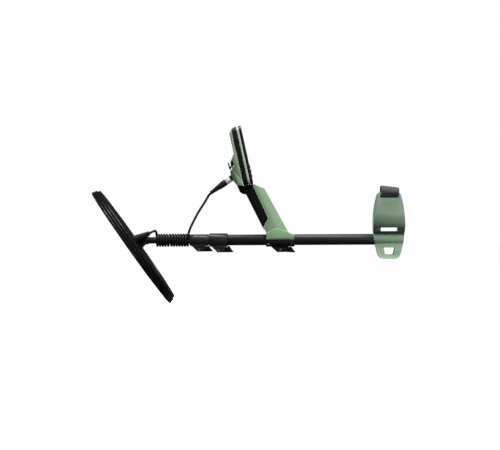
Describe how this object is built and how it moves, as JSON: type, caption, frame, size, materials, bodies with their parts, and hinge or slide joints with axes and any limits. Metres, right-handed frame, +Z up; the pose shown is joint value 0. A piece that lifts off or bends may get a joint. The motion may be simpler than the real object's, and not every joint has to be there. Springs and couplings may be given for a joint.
{
  "type": "metal detector",
  "caption": "Collapsible metal detector: round search coil on a three-part telescoping shaft, raked grip with display pod, arm cuff with strap and wrapped coil cable.",
  "frame": {"origin": "centre of the rear face of the shaft, on the shaft's axis", "axes": "+X along the shaft towards the rear (the coil is at -X), +Z up, +Y the detector's right side"},
  "size_m": [0.8128, 0.352, 0.4595],
  "materials": {
    "carbon_tube": "satin woven carbon",
    "black_plastic": "fine grain",
    "gloss_black": "gloss",
    "green_plastic": "fine satin grain",
    "pale_plastic": "satin",
    "black_rubber": "matte",
    "webbing": "woven",
    "steel": "zinc plated",
    "bright_metal": "satin chrome",
    "copper": "enamelled wire",
    "circuit": "solder mask",
    "cell_wrap": "shrink wrap",
    "lens": "hard coated",
    "cable": "matte"
  },
  "bodies": {
    "upper_shaft": {"upper_tube": "carbon_tube", "shaft_end_cap": "black_rubber", "upper_clamp": "black_plastic", "upper_clamp_pin": "steel", "arm_cuff": "green_plastic", "arm_strap": "webbing", "arm_cuff_screw": "steel", "cable_arc_low": "cable"},
    "handle": {"handle_body": "green_plastic", "handle_head": "green_plastic", "handle_grip": "black_rubber", "handle_clamp": "black_plastic", "handle_clamp_pin": "steel", "clamp_screw_1": "steel", "clamp_screw_2": "steel", "clamp_screw_3": "steel", "clamp_screw_4": "steel", "coil_socket": "black_plastic", "plug_nut": "bright_metal", "plug_body": "black_rubber", "front_panel": "gloss_black", "trim_ring": "pale_plastic", "side_band": "black_plastic", "pod_back": "green_plastic", "screen_lens": "lens", "display_module": "circuit", "circuit_board": "circuit", "battery_pack": "cell_wrap", "speaker": "black_plastic", "cable_arc_high": "cable"},
    "middle_shaft": {"middle_tube": "carbon_tube", "middle_tube_bush": "pale_plastic", "middle_clamp": "black_plastic", "middle_clamp_pin": "steel", "cable_wrap": "cable"},
    "lower_shaft": {"lower_tube": "carbon_tube", "lower_tube_bush": "pale_plastic", "yoke": "black_plastic", "pivot_bolt": "black_plastic", "pivot_nut": "black_plastic", "pivot_washer_left": "black_rubber", "pivot_washer_right": "black_rubber", "cable_loop": "cable"},
    "search_coil": {"coil_upper_shell": "black_plastic", "coil_lower_shell": "black_plastic", "coil_winding": "copper", "skid_plate": "black_plastic", "cable_boot": "black_rubber"},
    "upper_lever": {"upper_clamp_lever": "black_plastic"},
    "middle_lever": {"middle_clamp_lever": "black_plastic"},
    "handle_lever": {"handle_clamp_lever": "black_plastic"},
    "port_flap": {"port_cover": "black_rubber"},
    "front_key_up": {"key_up": "black_rubber"},
    "front_key_down": {"key_down": "black_rubber"},
    "front_key_left": {"key_left": "black_rubber"},
    "front_key_right": {"key_right": "black_rubber"},
    "front_key_select": {"key_select": "black_rubber"},
    "power_button": {"power_key": "black_rubber"},
    "mode_button": {"mode_key": "black_rubber"}
  },
  "joints": [
    {"name": "middle_slide", "type": "slide", "parent": "upper_shaft", "child": "middle_shaft", "axis": [-1, 0, 0], "range_m": [0, 0.3], "deforming": ["cable_arc_low"]},
    {"name": "lower_slide", "type": "slide", "parent": "middle_shaft", "child": "lower_shaft", "axis": [-1, 0, 0], "range_m": [0, 0.29], "deforming": ["cable_wrap"]},
    {"name": "coil_tilt", "type": "hinge", "parent": "lower_shaft", "child": "search_coil", "pos_m": [-0.678, 0, 0], "axis": [0, 1, 0], "range_deg": [-47, 95], "deforming": ["cable_loop"]},
    {"name": "handle_slide", "type": "slide", "parent": "upper_shaft", "child": "handle", "axis": [1, 0, 0], "range_m": [-0.055, 0.15], "deforming": ["cable_arc_high"]},
    {"name": "upper_lever_open", "type": "hinge", "parent": "upper_shaft", "child": "upper_lever", "pos_m": [-0.4782, 0, -0.0269], "axis": [0, 1, 0], "range_deg": [0, 120]},
    {"name": "middle_lever_open", "type": "hinge", "parent": "middle_shaft", "child": "middle_lever", "pos_m": [-0.53, 0, -0.0245], "axis": [0, 1, 0], "range_deg": [0, 120]},
    {"name": "handle_lever_open", "type": "hinge", "parent": "handle", "child": "handle_lever", "pos_m": [-0.318, 0, -0.026], "axis": [0, 1, 0], "range_deg": [0, 120]},
    {"name": "port_flap_open", "type": "hinge", "parent": "handle", "child": "port_flap", "pos_m": [-0.44623, 0, 0.20196], "axis": [0, 1, 0], "range_deg": [0, 100]},
    {"name": "key_up_press", "type": "slide", "parent": "handle", "child": "front_key_up", "axis": [-0.9778, 0, -0.2096], "range_m": [0, 0.001], "stiffness_N_per_m": 500},
    {"name": "key_down_press", "type": "slide", "parent": "handle", "child": "front_key_down", "axis": [-0.9778, 0, -0.2096], "range_m": [0, 0.001], "stiffness_N_per_m": 500},
    {"name": "key_left_press", "type": "slide", "parent": "handle", "child": "front_key_left", "axis": [-0.9778, 0, -0.2096], "range_m": [0, 0.001], "stiffness_N_per_m": 500},
    {"name": "key_right_press", "type": "slide", "parent": "handle", "child": "front_key_right", "axis": [-0.9778, 0, -0.2096], "range_m": [0, 0.001], "stiffness_N_per_m": 500},
    {"name": "key_select_press", "type": "slide", "parent": "handle", "child": "front_key_select", "axis": [-0.9778, 0, -0.2096], "range_m": [0, 0.001], "stiffness_N_per_m": 500},
    {"name": "power_key_press", "type": "slide", "parent": "handle", "child": "power_button", "axis": [0, 1, 0], "range_m": [0, 0.001], "stiffness_N_per_m": 500},
    {"name": "mode_key_press", "type": "slide", "parent": "handle", "child": "mode_button", "axis": [0, 1, 0], "range_m": [0, 0.001], "stiffness_N_per_m": 500}
  ]
}
